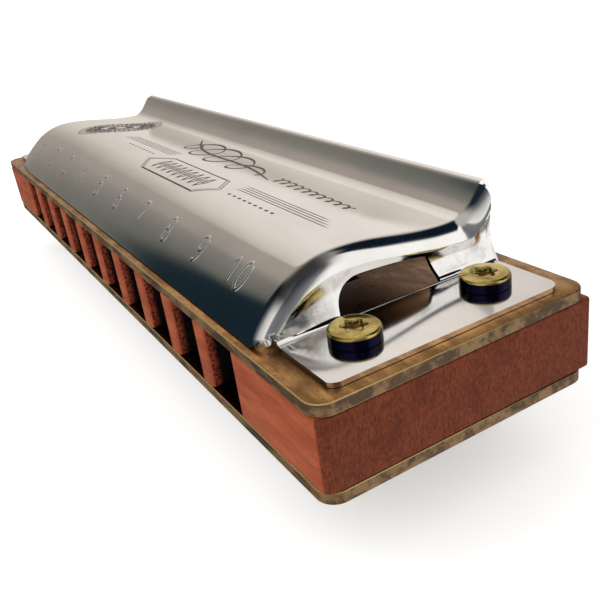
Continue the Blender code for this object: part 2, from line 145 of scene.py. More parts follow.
class Finish(Nodes):
    """A Principled material. Its fixed values are set first, and feed adds what varies."""

    def __init__(self, name, fixed):
        self.material = bpy.data.materials.new(name)
        self.material.use_nodes = True
        super().__init__(self.material.node_tree)
        self.shader = self.tree.nodes["Principled BSDF"]
        for socket, value in fixed.items():
            self.shader.inputs[socket].default_value = value
        self.place = self.node("TexCoord", output="Object")

    def noise(self, size, detail=4.0, stretch=(1.0, 1.0, 1.0), rough=0.5):
        """Fractal noise whose blots are about size millimetres across, 0 to 1."""
        scaled = self.node("Mapping", inputs={"Vector": self.place, "Scale": stretch})
        sizes = {"Vector": scaled, "Scale": 1 / (size * MM), "Detail": detail, "Roughness": rough}
        return self.node("TexNoise", inputs=sizes, output="Fac")

    def attribute(self, name):
        """A value that the mesh carries at its vertices."""
        return self.node("Attribute", {"attribute_name": name}, output="Fac")

    def feed(self, socket, value):
        """Links a value that varies to a socket of the material."""
        self.tree.links.new(value.link, self.shader.inputs[socket])

    def emboss(self, height, depth):
        """Bumps the surface: height 0 to 1 stands for depth millimetres."""
        values = {"Height": height, "Strength": 1.0, "Distance": depth * MM}
        self.feed("Normal", self.node("Bump", inputs=values))


def arc(x, y, radius, start, end, steps):
    """Points of a circle: its centre plus radius times (cos, sin), from one angle to another."""
    a = np.radians(np.linspace(start, end, steps + 1))
    return np.c_[x + radius * np.cos(a), y + radius * np.sin(a)]


def ring(x, y, radius, steps):
    """A closed circle that runs clockwise, as the edge of a hole does."""
    return arc(x, y, radius, 360, 360 / steps, steps - 1)


def inset(loop, amount):
    """Moves each point along the bisector of its edges, so that both edges move in by amount."""
    def outward(step):
        """Each step's direction, turned a quarter turn clockwise."""
        step = step / np.linalg.norm(step, axis=1)[:, None]
        return np.c_[step[:, 1], -step[:, 0]]
    before = outward(loop - np.roll(loop, 1, axis=0))
    after = outward(np.roll(loop, -1, axis=0) - loop)
    share = 1 + (before * after).sum(axis=1)
    return loop - amount * (before + after) / share[:, None]


def grid_faces(rows, columns, wrap=False, start=0):
    """The four corners of each cell of a grid of points. wrap joins its last column and first."""
    r, c = np.meshgrid(np.arange(rows - 1), np.arange(columns - (not wrap)), indexing="ij")
    n = (c + 1) % columns
    corners = [r * columns + c, r * columns + n, (r + 1) * columns + n, (r + 1) * columns + c]
    return start + np.stack(corners, axis=-1).reshape(-1, 4)


def add_piece(name, points, faces, finish, slot, nodes, body="body", angle=35, fill=(), marks=()):
    """Makes a named piece from points in millimetres, which stands for CAD nodes on one body.

    fill holds heights at which the open edges are closed by flat caps, and marks holds named
    arrays of one value per point.
    """
    mesh = bpy.data.meshes.new(name)
    mesh.from_pydata((np.asarray(points) * MM).tolist(), [], np.asarray(faces).tolist())
    for mark, values in dict(marks).items():
        mesh.attributes.new(mark, "FLOAT", "POINT").data.foreach_set("value", values)
    bm = bmesh.new()
    bm.from_mesh(mesh)
    bmesh.ops.remove_doubles(bm, verts=bm.verts, dist=1e-7)
    for level in fill:
        rim = [e for e in bm.edges if e.is_boundary
               and all(abs(v.co.z - level * MM) < 1e-7 for v in e.verts)]
        bmesh.ops.triangle_fill(bm, use_beauty=True, edges=rim)
    bmesh.ops.recalc_face_normals(bm, faces=bm.faces)
    bm.to_mesh(mesh)
    bm.free()
    mesh.shade_smooth()
    mesh.set_sharp_from_angle(angle=np.radians(angle))
    mesh.materials.append(finish.material)
    piece = bpy.data.objects.new(name, mesh)
    bpy.context.scene.collection.objects.link(piece)
    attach(piece, body)
    if nodes:
        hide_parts(*nodes)
    return piece


def eased_slab(loops, low, high, ease, steps=3):
    """Walls of a plate with rounded arrises, and marks that are 1 on the arris and on the wall.

    Each outline is carried up a profile: in by ease * (1 - sin a) while it rises by
    ease * (1 - cos a), and the same in reverse at the top.
    """
    a = np.radians(np.linspace(0, 90, steps + 1))
    heights = np.r_[low + ease * (1 - np.cos(a)), high - ease * (1 - np.cos(a[::-1]))]
    insets = ease * (1 - np.sin(np.r_[a, a[::-1]]))
    worn, upright = np.sin(2 * np.r_[a, a[::-1]]), np.sin(np.r_[a, a[::-1]])
    points, faces, arris, wall = [], [], [], []
    count = 0
    for loop in loops:
        rows = [np.c_[inset(loop, i), np.full(len(loop), h)] for i, h in zip(insets, heights)]
        points.append(np.concatenate(rows))
        faces.append(grid_faces(len(rows), len(loop), wrap=True, start=count))
        arris.append(np.repeat(worn, len(loop)))
        wall.append(np.repeat(upright, len(loop)))
        count += len(points[-1])
    marks = {"arris": np.concatenate(arris), "wall": np.concatenate(wall)}
    return np.concatenate(points), np.concatenate(faces), marks


def comb_outline():
    """The comb from above, anticlockwise: each chamber is a slot with rounded pillar noses."""
    nose, front, rear = 0.4, 1.0, 0.5
    back_y = MOUTH_Y + COMB_DEPTH
    parts = [arc(front - HALF_LENGTH, MOUTH_Y + front, front, 180, 270, 8)]
    for x, end in zip(HOLE_X, MOUTH_Y + CHAMBER_ENDS):
        left, right = x - HOLE_HALF_WIDTH, x + HOLE_HALF_WIDTH
        parts.append(arc(left - nose, MOUTH_Y + nose, nose, 270, 360, 6))
        parts.append(arc(left + nose, end - nose, nose, 180, 90, 4))
        parts.append(arc(right - nose, end - nose, nose, 90, 0, 4))
        parts.append(arc(right + nose, MOUTH_Y + nose, nose, 180, 270, 6))
    parts.append(arc(HALF_LENGTH - front, MOUTH_Y + front, front, 270, 360, 8))
    parts.append(arc(HALF_LENGTH - rear, back_y - rear, rear, 0, 90, 5))
    parts.append(arc(rear - HALF_LENGTH, back_y - rear, rear, 90, 180, 5))
    return np.concatenate(parts)


def clamp_centres():
    """Centres of the four clamping screws: both ends, front and rear."""
    return [(side * 45.2, MOUTH_Y + depth) for side in (-1, 1) for depth in (6.9, 19.4)]


PIN_PLACES = [(-39.3, 3.4), (39.3, 3.4), (-30.0, 23.6), (8.0, 22.6), (39.3, 21.8)]


def clamp_holes():
    """Edges of the holes that the sleeve nuts and the small screws pass through."""
    holes = [ring(x, y, SLEEVE_HOLE, 24) for x, y in clamp_centres()]
    return holes + [ring(x, MOUTH_Y + depth, PIN_HOLE, 16) for x, depth in PIN_PLACES]


wood = Finish("stained_pearwood", {"IOR": 1.45, "Specular IOR Level": 0.2})
flank = wood.attribute("flank")
end_face = wood.attribute("end_face")
long_grain = wood.noise(1.1, 5, (0.16, 1.0, 1.0), 0.6)
pores = wood.noise(0.16, 3, (0.35, 1.0, 1.0), 0.7)
cross_hatch = wood.noise(0.22, 4, (1.0, 1.4, 0.6), 0.65)
saw_marks = wood.noise(0.26, 4, rough=0.7)
stain = wood.mix(wood.step(long_grain, 0.35, 0.68), srgb(142, 66, 38), srgb(166, 84, 50))
stain = wood.mix(wood.step(pores, 0.56, 0.72) * 0.45, stain, srgb(96, 38, 22))
flank_wood_and_shade = wood.mix(wood.step(saw_marks, 0.44, 0.58), srgb(158, 68, 42), srgb(70, 24, 15))
# Deeper into each chamber, from 0.5 to 1.15 mm behind the mouth, the flank turns near black:
# painted shade inside the chambers.
inward = wood.node("SeparateXYZ", inputs={0: wood.place}, output="Y")
flank_wood_and_shade = wood.mix(wood.step(inward, (MOUTH_Y + 0.5) * MM, (MOUTH_Y + 1.15) * MM),
                     flank_wood_and_shade, srgb(12, 5, 4))
end_red = wood.mix(wood.step(cross_hatch, 0.32, 0.68), srgb(122, 56, 28), srgb(86, 36, 17))
end_red = wood.mix(wood.step(wood.noise(2.6, 3), 0.45, 0.75) * 0.5, end_red, srgb(76, 30, 14))
wood.feed("Base Color", wood.mix(end_face, wood.mix(flank, stain, flank_wood_and_shade), end_red))
wood.feed("Roughness", 0.42 + 0.2 * flank + 0.12 * end_face + 0.15 * pores)
wood.emboss(saw_marks * (0.15 + 0.85 * flank) + 0.25 * pores + 0.3 * cross_hatch * end_face, 0.12)

comb_loops = [comb_outline(), *clamp_holes()]
comb_points, comb_faces, comb_marks = eased_slab(
    comb_loops, MID_HEIGHT - HALF_COMB, MID_HEIGHT + HALF_COMB, 0.14)
comb_x, comb_y = comb_points[:, 0], comb_points[:, 1]
nearest_hole = np.abs(comb_x[:, None] - HOLE_X).min(axis=1)
in_chamber = (nearest_hole < HOLE_HALF_WIDTH + 0.35) & (comb_y > MOUTH_Y + 0.2)
comb_marks["flank"] = in_chamber.astype(float)
comb_marks["end_face"] = (np.abs(comb_x) > HALF_LENGTH - 0.5).astype(float)
add_piece("comb_wood", comb_points, comb_faces, wood, "stained_pearwood", ["comb"],
          fill=(MID_HEIGHT - HALF_COMB, MID_HEIGHT + HALF_COMB), marks=comb_marks)


# ---- Reed plates -----------------------------------------------------------------------------
# Two plates of milled brass, brown and olive with age. Each has ten tapered slots, a rivet hole
# beside each slot, and round holes for the clamps. Their corners are rounded and rubbed bright,
# with a painted highlight on them, and painted shade darkens the plates under the covers, on
# their inner faces and along their rounded edges.

PLATE_DEPTH = 25.2
PLATE_INNER = 3.10
PLATE_OUTER = 4.15
PLATE_CORNER = 1.6
# Where the painted shade under the cover lies: inside this half span, and behind this depth from
# the mouth.
COVER_SHADE_HALF_SPAN, COVER_SHADE_FRONT = 41.9, 1.2
RIVET_HOLE = 0.8
BLOW_PADS = np.full(10, 3.7)
DRAW_PADS = REED_LENGTHS + 5.3


def smooth_step(low, high, value):
    """0 below low and 1 above high, with t * t * (3 - 2 * t) between."""
    t = np.clip((value - low) / (high - low), 0, 1)
    return t * t * (3 - 2 * t)


def plate_loops(is_blow):
    """Outline of a plate, anticlockwise, and the clockwise edges of its slots and holes."""
    c = PLATE_CORNER
    right, back = HALF_LENGTH - c, MOUTH_Y + PLATE_DEPTH - c
    front = MOUTH_Y + c
    outline = np.concatenate([
        arc(-right, front, c, 180, 270, 10), arc(right, front, c, 270, 360, 10),
        arc(right, back, c, 0, 90, 10), arc(-right, back, c, 90, 180, 10)])
    loops = [outline, *clamp_holes()]
    pads = BLOW_PADS if is_blow else DRAW_PADS
    for x, free, pad in zip(HOLE_X, REED_LENGTHS, pads):
        root, tip = (1.5, free + 0.35) if is_blow else (-1.5, -free - 0.35)
        y0, y1 = MOUTH_Y + pad + root, MOUTH_Y + pad + tip
        slot = np.array([(x - 1.43, y0), (x - 1.13, y1), (x + 1.13, y1), (x + 1.43, y0)])
        loops.append(slot if is_blow else slot[::-1])
        loops.append(ring(x, MOUTH_Y + pad, RIVET_HOLE, 16))
    return loops


aged_brass = Finish("aged_brass", {"Metallic": 1.0, "IOR": 1.5})
patina = aged_brass.noise(1.3, 6, (0.4, 1.0, 1.0), 0.62)
specks = aged_brass.noise(0.28, 3, rough=0.6)
blots = aged_brass.noise(3.2, 4, (0.5, 1.0, 1.0), 0.5)
arris = aged_brass.attribute("arris")
corner_wear_and_highlight = arris * aged_brass.attribute("corner")
sawn_edge = aged_brass.attribute("wall")
brass = aged_brass.mix(
    aged_brass.step(patina, 0.36, 0.66), srgb(198, 150, 94), srgb(154, 110, 64))
olive = aged_brass.mix(
    aged_brass.step(patina, 0.42, 0.60), srgb(136, 106, 68), srgb(84, 62, 42))
brass = aged_brass.mix(sawn_edge, brass, olive)
brass = aged_brass.mix(aged_brass.step(blots, 0.52, 0.74) * 0.6, brass, srgb(108, 82, 54))
brass = aged_brass.mix(aged_brass.step(specks, 0.60, 0.74) * 0.7, brass, srgb(64, 48, 36))
along, inward, height = (
    aged_brass.node("SeparateXYZ", inputs={0: aged_brass.place}, output=axis) for axis in "XYZ")
along = along.math("ABSOLUTE", along, 0.0)
# Inside the cover's span and behind its front foot, the plate's top is painted dark brown: painted
# shade under the cover.
under_cover_shade = 1.0 - aged_brass.step(along, COVER_SHADE_HALF_SPAN * MM, (COVER_SHADE_HALF_SPAN + 0.7) * MM)
under_cover_shade = under_cover_shade * (1.0 - sawn_edge) * aged_brass.step(
    inward, (MOUTH_Y + COVER_SHADE_FRONT) * MM, (MOUTH_Y + 2 * COVER_SHADE_FRONT) * MM)
brass = aged_brass.mix(under_cover_shade * 0.72, brass, srgb(66, 40, 20))
# The plates' inner faces, seen only down the chambers, are painted dark brown: painted shade
# between plate and comb.
aside = height.math("ABSOLUTE", height - MID_HEIGHT * MM, 0.0)
inner_face_shade = 1.0 - aged_brass.step(aside, (PLATE_INNER + 0.02) * MM, (PLATE_INNER + 0.06) * MM)
brass = aged_brass.mix(inner_face_shade, brass, srgb(52, 30, 18))
# Along the middle of each rounded edge the brass is painted dark: a painted shade line between the
# top face and the side.
brass = aged_brass.mix(arris * 0.75, brass, srgb(58, 40, 24))
# The rounded corners are rubbed smooth, and their colour is raised to a pale gold: a painted
# highlight.
brass = aged_brass.mix(corner_wear_and_highlight, brass, srgb(240, 212, 140))
aged_brass.feed("Base Color", brass)
tarnish = aged_brass.step(patina, 0.34, 0.62)
aged_brass.feed("Metallic", 1.0 - 0.6 * sawn_edge)
aged_brass.feed("Roughness", 0.20 + 0.14 * tarnish + 0.12 * specks + 0.16 * sawn_edge
                - 0.2 * corner_wear_and_highlight)
aged_brass.emboss(patina + 0.5 * specks, 0.018)

for plate, is_blow in (("upper_reed_plate", True), ("lower_reed_plate", False)):
    near, far = (PLATE_INNER, PLATE_OUTER) if is_blow else (-PLATE_OUTER, -PLATE_INNER)
    levels = (MID_HEIGHT + near, MID_HEIGHT + far)
    plate_points, plate_faces, plate_marks = eased_slab(plate_loops(is_blow), *levels, 0.10)
    from_corner = np.hypot(HALF_LENGTH - PLATE_CORNER - np.abs(plate_points[:, 0]),
                           plate_points[:, 1] - MOUTH_Y - PLATE_CORNER)
    plate_marks["corner"] = 1 - smooth_step(1.2, 2.4, from_corner)
    add_piece(plate + "_brass", plate_points, plate_faces, aged_brass, "aged_brass", [plate],
              fill=levels, marks=plate_marks)


# ---- Reeds and rivets ------------------------------------------------------------------------
# Twenty tongues of hard brass, ground along their length so that they speak at pitch. Each is
# held by a round rivet through its pad; the rivets stay put.

reed_brass = Finish("reed_brass", {"Metallic": 1.0, "IOR": 1.5})
grinding = reed_brass.noise(0.12, 3, (1.0, 0.04, 1.0), 0.6)
handling = reed_brass.noise(2.2, 4)
reed_brass.feed("Base Color", reed_brass.mix(
    reed_brass.step(handling, 0.40, 0.70), srgb(224, 192, 118), srgb(190, 150, 84)))
reed_brass.feed("Roughness", 0.18 + 0.22 * grinding + 0.1 * handling)
reed_brass.emboss(grinding, 0.02)
for name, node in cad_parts.items():
    if "_reed_" in name and "plate" not in name:
        node.data.materials.clear()
        node.data.materials.append(reed_brass.material)

rivet_brass = Finish("rivet_brass", {"Metallic": 1.0, "IOR": 1.5})
tooling = rivet_brass.noise(0.3, 4, rough=0.6)
rivet_brass.feed("Base Color", rivet_brass.mix(
    rivet_brass.step(tooling, 0.40, 0.65), srgb(214, 184, 116), srgb(160, 126, 72)))
rivet_brass.feed("Roughness", 0.24 + 0.24 * tooling)
rivet_brass.emboss(tooling, 0.03)


def turned(profile, sides=32):
    """A closed turned piece: a profile of (radius, height) carried once round its axis."""
    a = np.linspace(0, 2 * np.pi, sides, endpoint=False)
    profile = np.array(profile, float)
    profile = np.vstack([(0, profile[0, 1]), profile, (0, profile[-1, 1])])
    radius, height = profile[:, 0][:, None], profile[:, 1][:, None]
    points = np.stack([radius * np.cos(a), radius * np.sin(a), height + 0 * a], axis=-1)
    return points.reshape(-1, 3), grid_faces(len(profile), sides, wrap=True)


def rounded(profile, ease, steps=4):
    """Rounds the corners of a profile: each is cut back by ease and bridged by a quadratic arc."""
    profile = np.array(profile, float)
    t = np.linspace(0, 1, steps + 1)[:, None]
    parts = [profile[:1]]
    for before, corner, after in zip(profile, profile[1:], profile[2:]):
        start, end = (corner + (p - corner) * min(ease / np.linalg.norm(p - corner), 0.45)
                      for p in (before, after))
        parts.append(start * (1 - t) ** 2 + corner * 2 * t * (1 - t) + end * t ** 2)
    return np.concatenate([*parts, profile[-1:]])


RIVET_HEAD = [(0.75, -0.79), (1.0, -0.67), (1.0, -0.49), (0.65, -0.49)]
BLOW_RIVET = RIVET_HEAD + [(0.65, 1.075), (0.95, 1.075), (0.76, 1.275)]
DRAW_RIVET = RIVET_HEAD + [(0.65, 1.05)]
for kind, shape, pads, face in (("blow", BLOW_RIVET, BLOW_PADS, PLATE_INNER),
                                ("draw", DRAW_RIVET, DRAW_PADS, -PLATE_OUTER)):
    rivet_points, rivet_faces = turned(rounded(shape, 0.08, 2), 24)
    for number, (x, pad) in enumerate(zip(HOLE_X, pads), start=1):
        place = (x, MOUTH_Y + pad, MID_HEIGHT + face)
        node = f"{kind}_rivet_{number:02d}"
        add_piece(node + "_turned", rivet_points + place, rivet_faces, rivet_brass,
                  "rivet_brass", [node])


# ---- Covers ----------------------------------------------------------------------------------
# Each cover is one pressing of stainless sheet, polished to a mirror. Its front foot stands on
# the reed plate, its ends turn down into walls with a vent and a flange for two screws, and its
# rear edge is rolled over into a hem. The lower cover is the same pressing turned over.

SHEET = 0.4
HALF_SPAN = 42.15
CROWN, VALLEY, LIP, KNEE = (HALF_COMB + rise for rise in (6.72, 5.40, 7.78, 5.02))
LIP_DEPTH, LIP_ANGLE, HEM_RADIUS, HEM_TURN = 23.6, 50.0, 0.65, 215.0
FRONT_EDGE, EDGE, REAR_EDGE = 1.2, 1.6, 1.9
WALL_LEAN = 0.6
WAIST, REAR_WAIST = 0.15, 0.45
FOOT_FRONT, FOOT_REAR = 1.7, 23.8
FLANGE_TOP = 4.60
FLANGE_REACH, FLANGE_FRONT, FLANGE_REAR, FLANGE_CORNER = 49.4, 1.9, 23.3, 1.1
FILLET = 0.35
FRONT_FOOT = 4.26
ROOF_STEPS, TURN_STEPS, WALL_STEPS = 8, 14, 14


def eased_curve(start, end, leave, arrive, steps=120):
    """A cubic from one point to another that leaves and arrives at the given slopes in degrees."""
    t = np.linspace(0, 1, steps)[:, None]
    reach = np.hypot(*np.subtract(end, start))
    out, into = ([np.cos(np.radians(a)), np.sin(np.radians(a))] for a in (leave, arrive))
    ends = (2 * t**3 - 3 * t**2 + 1) * start + (3 * t**2 - 2 * t**3) * end
    return ends + reach * ((t**3 - 2 * t**2 + t) * out + (t**3 - t**2) * into)


profile = np.concatenate([
    eased_curve((0.5, 3.9), (3.8, KNEE), 74, 38)[:-1],
    eased_curve((3.8, KNEE), (8.9, CROWN), 38, 0)[:-1],
    eased_curve((8.9, CROWN), (20.3, VALLEY), 0, 0)[:-1],
    eased_curve((20.3, VALLEY), (LIP_DEPTH, LIP), 0, LIP_ANGLE)])
profile_run = np.r_[0, np.cumsum(np.hypot(*np.diff(profile, axis=0).T))]


def on_profile(run):
    """Depth, height and slope of the cover's cross section at a distance along it."""
    depth, height = (np.interp(run, profile_run, profile[:, k]) for k in (0, 1))
    step = 0.15
    ahead, back = np.minimum(run + step, profile_run[-1]), np.maximum(run - step, 0)
    reach, rise = (np.interp(ahead, profile_run, profile[:, k])
                   - np.interp(back, profile_run, profile[:, k]) for k in (0, 1))
    return depth, height, np.arctan2(rise, reach)


def through(knots, steps=10, closed=False):
    """A smooth line through its knots: a cubic between each pair, whose slope at a knot is half
    the step from the knot before it to the knot after it."""
    knots = np.array(knots, float)
    if closed:
        before, after = knots[-2:-1], knots[1:2]
    else:
        before, after = 2 * knots[:1] - knots[1:2], 2 * knots[-1:] - knots[-2:-1]
    k = np.concatenate([before, knots, after])
    t = np.linspace(0, 1, steps, endpoint=False)[None, :, None]
    p0, p1, p2, p3 = (k[i:len(k) - 3 + i, None, :] for i in range(4))
    line = (2 * p1 + (p2 - p0) * t + (2 * p0 - 5 * p1 + 4 * p2 - p3) * t**2
            + (3 * p1 - p0 - 3 * p2 + p3) * t**3) / 2
    return np.concatenate([line.reshape(-1, 2), knots[-1:]])


# The arch is given as depths, each with its share of the vent's height.
VENT_TOP = HALF_COMB + 4.45
VENT_ARCH = [(7.65, 0), (7.86, 0.35), (8.20, 0.62), (8.65, 0.82), (9.2, 0.94), (9.9, 1.0),
             (11.5, 0.98), (13.9, 0.91), (15.6, 0.82), (16.6, 0.73), (16.9, 0.62),
             (17.08, 0.4), (17.35, 0)]


def vent_edge(share):
    """The vent's edge from its front foot over the arch to its rear foot, as (depth, height)."""
    base = FLANGE_TOP + FILLET
    edge = through(VENT_ARCH) * (1, VENT_TOP - base) + (0, base)
    run = np.r_[0, np.cumsum(np.hypot(*np.diff(edge, axis=0).T))]
    return (np.interp(share * run[-1], run, edge[:, k]) for k in (0, 1))


def dents(depth, height):
    """Hollows beaten into the end wall by the press: a sum of Gaussian hills, in millimetres."""
    hollows = ((2.9, 6.4, 1.1, 1.5, -0.16), (4.9, 5.5, 1.4, 1.0, 0.04),
               (19.3, 6.2, 1.6, 1.3, -0.12), (12.5, 8.2, 3.5, 0.5, -0.06))
    return sum(push * np.exp(-((depth - d) / wide) ** 2 - ((height - h) / tall) ** 2)
               for d, h, wide, tall, push in hollows)


def cover_shell():
    """The right half of the outer skin as two grids, the shell and its flange.

    Rows run across the profile. In a row, the roof is straight, the edge is a quarter turn of
    the edge radius, and the wall drops in a straight line to the flange, or to the vent's edge.
    With fall from 0 at the ridge to 1 at the flange, the wall stands out by fall ** 2 of its
    lean and is bowed in by waist * sin(pi * fall).
    """
    vent_front, vent_rear = VENT_ARCH[0][0], VENT_ARCH[-1][0]
    foot = np.linspace(FOOT_FRONT, FOOT_REAR, 190)
    turn = FLANGE_CORNER * (1 - np.cos(np.radians(np.arange(0, 91, 11.25))))
    gap = 0.03
    extra = [FLANGE_FRONT - gap, FLANGE_REAR + gap, vent_front, vent_rear]
    foot = np.unique(np.round(np.r_[foot, FLANGE_FRONT + turn, FLANGE_REAR - turn, extra], 6))
    run = (foot - FOOT_FRONT) / (FOOT_REAR - FOOT_FRONT) * profile_run[-1]
    lead = 1.6  # how far rows start behind the vent's steep rear edge, so that none cross
    run += lead * smooth_step(9, 15.5, foot) * (1 - smooth_step(17.5, FOOT_REAR, foot))
    depth, height, slope = on_profile(run)
    kept = height >= FRONT_FOOT
    foot, depth, height, slope = foot[kept], depth[kept], height[kept], slope[kept]

    rear = smooth_step(20.5, LIP_DEPTH, depth)
    front = 1 - smooth_step(5, 9, depth)
    radius = (FRONT_EDGE + (EDGE - FRONT_EDGE) * smooth_step(0.5, 3.5, depth)
              + (REAR_EDGE - EDGE) * smooth_step(19, LIP_DEPTH, depth))
    wall_x = HALF_SPAN - WALL_LEAN * (1 - rear)
    a = np.radians(np.linspace(0, 90, TURN_STEPS + 1))
    drop = radius[:, None] * (1 - np.cos(a))
    roof = np.linspace(0, 1, ROOF_STEPS + 1)[:-1]
    flat = np.ones(len(roof))
    x = np.hstack([(wall_x - radius)[:, None] * roof,
                   (wall_x - radius)[:, None] + radius[:, None] * np.sin(a)])
    y = np.hstack([depth[:, None] * flat,
                   depth[:, None] + drop * (np.sin(slope) * front - 0.3 * rear)[:, None]])
    z = np.hstack([height[:, None] * flat,
                   height[:, None] - drop * (np.cos(slope) * front + 1 - front)[:, None]])

    has_flange = (foot > FLANGE_FRONT - gap / 2) & (foot < FLANGE_REAR + gap / 2)
    level = np.where(has_flange, FLANGE_TOP + FILLET, FRONT_FOOT - 0.06)
    corner = np.r_[0 * roof, np.sin(a)]
    z += corner * np.clip(level[:, None] + 0.03 - z, 0, None)
    in_vent = (foot >= vent_front) & (foot <= vent_rear)
    edge_depth, edge_height = vent_edge((foot - vent_front) / (vent_rear - vent_front))
    end_depth = np.where(in_vent, edge_depth, foot)
    end_height = np.where(in_vent, edge_height, level)
    t = np.linspace(0, 1, WALL_STEPS + 1)[1:]
    wall_y = y[:, -1:] + (end_depth[:, None] - y[:, -1:]) * t
    wall_z = z[:, -1:] + (end_height[:, None] - z[:, -1:]) * t
    ridge_x, ridge_z, rear = (
        np.interp(wall_y, y[:, -1], row) for row in (x[:, -1], z[:, -1], rear))
    fall = np.clip((ridge_z - wall_z) / (ridge_z - level[:, None]), 0, 1)
    waist = WAIST + (REAR_WAIST - WAIST) * rear
    wall = ridge_x + (HALF_SPAN - ridge_x) * fall**2 - waist * np.sin(np.pi * fall)
    wall += dents(wall_y, wall_z) * np.sin(np.pi * fall) ** 0.5
    shell = np.stack([np.hstack(pair) for pair in ((x, wall), (y, wall_y), (z, wall_z))], axis=-1)

    out = foot[has_flange]
    near = np.minimum(out - FLANGE_FRONT, FLANGE_REAR - out).clip(0, FLANGE_CORNER)
    reach = FLANGE_REACH - FLANGE_CORNER + np.sqrt(FLANGE_CORNER**2 - (FLANGE_CORNER - near) ** 2)
    b = np.radians(np.linspace(0, 90, 6))
    bend_x = HALF_SPAN + FILLET * (1 - np.cos(b)) + 0 * out[:, None]
    bend_z = FLANGE_TOP + FILLET * (1 - np.sin(b)) + 0 * out[:, None]
    span = np.linspace(0, 1, 9)[1:]
    flat_x = bend_x[:, -1:] + (reach[:, None] - bend_x[:, -1:]) * span
    flange_x = np.hstack([bend_x, flat_x])
    flange_z = np.hstack([bend_z, FLANGE_TOP + 0 * flat_x])
    flange = np.stack([flange_x, out[:, None] + 0 * flange_x, flange_z], axis=-1)
    return shell, flange, in_vent[has_flange]


def hem_grid(lip):
    """The lip's rows carried round a quarter over half a turn, as a bead of the hem's radius."""
    slope = np.radians(LIP_ANGLE)
    middle = (LIP_DEPTH + HEM_RADIUS * np.sin(slope), LIP - HEM_RADIUS * np.cos(slope))
    round_points = arc(*middle, HEM_RADIUS, 90 + LIP_ANGLE, 90 + LIP_ANGLE - HEM_TURN, 18)
    x = lip[:, 0] + 0 * round_points[:, :1]
    return np.stack([x, round_points[:, :1] + 0 * x, round_points[:, 1:] + 0 * x], axis=-1)


def grid_piece(parts):
    """Joins grids of (x, depth, height) and their left-hand twins into one list of points."""
    points, faces, count = [], [], 0
    for grid, shut in parts:
        for side in (1, -1):
            rows, columns = grid.shape[:2]
            cells = grid_faces(rows, columns, start=count)
            points.append(grid.reshape(-1, 3) * (side, 1, 1))
            faces.append(cells[shut.ravel()] if shut is not None else cells)
            count += rows * columns
    points = np.concatenate(points) + (0, MOUTH_Y, MID_HEIGHT)
    return points, np.concatenate(faces)


steel = Finish("polished_steel", {"Metallic": 1.0, "IOR": 2.0})
smears = steel.noise(7.0, 4, (0.5, 1.0, 1.0), 0.6)
polish = steel.noise(0.5, 3, (0.08, 1.0, 1.0), 0.7)
pitting = steel.noise(0.22, 3, rough=0.6)
stains = steel.noise(1.3, 4, rough=0.6)
wall_patch_noise = steel.noise(0.9, 4, rough=0.65)
end_wall = steel.attribute("end_wall")
# Two soft patches on the end wall are painted brown: painted reflections.
painted_wall_reflection = steel.attribute("smudge") * steel.step(wall_patch_noise, 0.26, 0.56)
tone = steel.mix(steel.step(smears, 0.38, 0.64), srgb(236, 235, 233), srgb(228, 226, 224))
tone = steel.mix(end_wall * steel.step(stains, 0.46, 0.66) * 0.3, tone, srgb(150, 138, 120))
tone = steel.mix(painted_wall_reflection * 0.8, tone, srgb(104, 94, 80))
# Along the bend at the front corners the steel is painted navy dark: a painted reflection.
tone = steel.mix(steel.attribute("ridge") * 0.94, tone, srgb(34, 40, 48))
steel.feed("Base Color", tone)
steel.feed("Roughness", 0.07 + 0.03 * smears + 0.03 * polish + 0.14 * end_wall * pitting)
steel.emboss(0.1 * polish + 0.7 * end_wall * pitting, 0.003)

shell, flange, over_vent = cover_shell()
hem = hem_grid(shell[-1, :ROOF_STEPS + 1])
bend_cells = np.ones((len(flange) - 1, flange.shape[1] - 1), bool)
bend_cells[over_vent[:-1] & over_vent[1:], :3] = False
cover_points, cover_faces = grid_piece([(shell, None), (flange, bend_cells), (hem, None)])


def both_shells(values):
    """Carries one value per point of the shell over both halves. Flange and hem get 0."""
    return np.pad(np.tile(values, (2, 1)).ravel(), (0, len(cover_points) - 2 * values.size))


# The end walls are stained and pitted and carry painted brown reflections, and the bend at the
# front corners carries a painted dark reflection.
past_roof = np.arange(shell.shape[1]) - ROOF_STEPS
ridge_depth = shell[:, :1, 1]
ridge = smooth_step(0.5, 3.5, past_roof) * (1 - smooth_step(6.5, 11, past_roof))
ridge = ridge * smooth_step(2.2, 3.6, ridge_depth) * (1 - smooth_step(6.5, 10, ridge_depth))
wall_depth, wall_height = cover_points[:, 1] - MOUTH_Y, cover_points[:, 2] - MID_HEIGHT
edge_y, edge_z = vent_edge(np.linspace(0, 1, 90))
from_vent = np.hypot(wall_depth[:, None] - edge_y, wall_height[:, None] - edge_z).min(axis=1)
on_wall = both_shells(smooth_step(TURN_STEPS - 2, TURN_STEPS + 2, past_roof) + 0 * ridge_depth)
# Where the end wall's painted brown reflections lie.
smudge = on_wall * sum(
    np.exp(-((wall_depth - d) / wide) ** 2 - ((wall_height - h) / tall) ** 2)
    for d, h, wide, tall in ((4.6, 6.6, 1.9, 1.8), (16.4, 7.5, 1.3, 0.6)))
cover_marks = {"end_wall": on_wall * smooth_step(0.1, 0.6, from_vent), "smudge": smudge,
               "ridge": both_shells(ridge)}


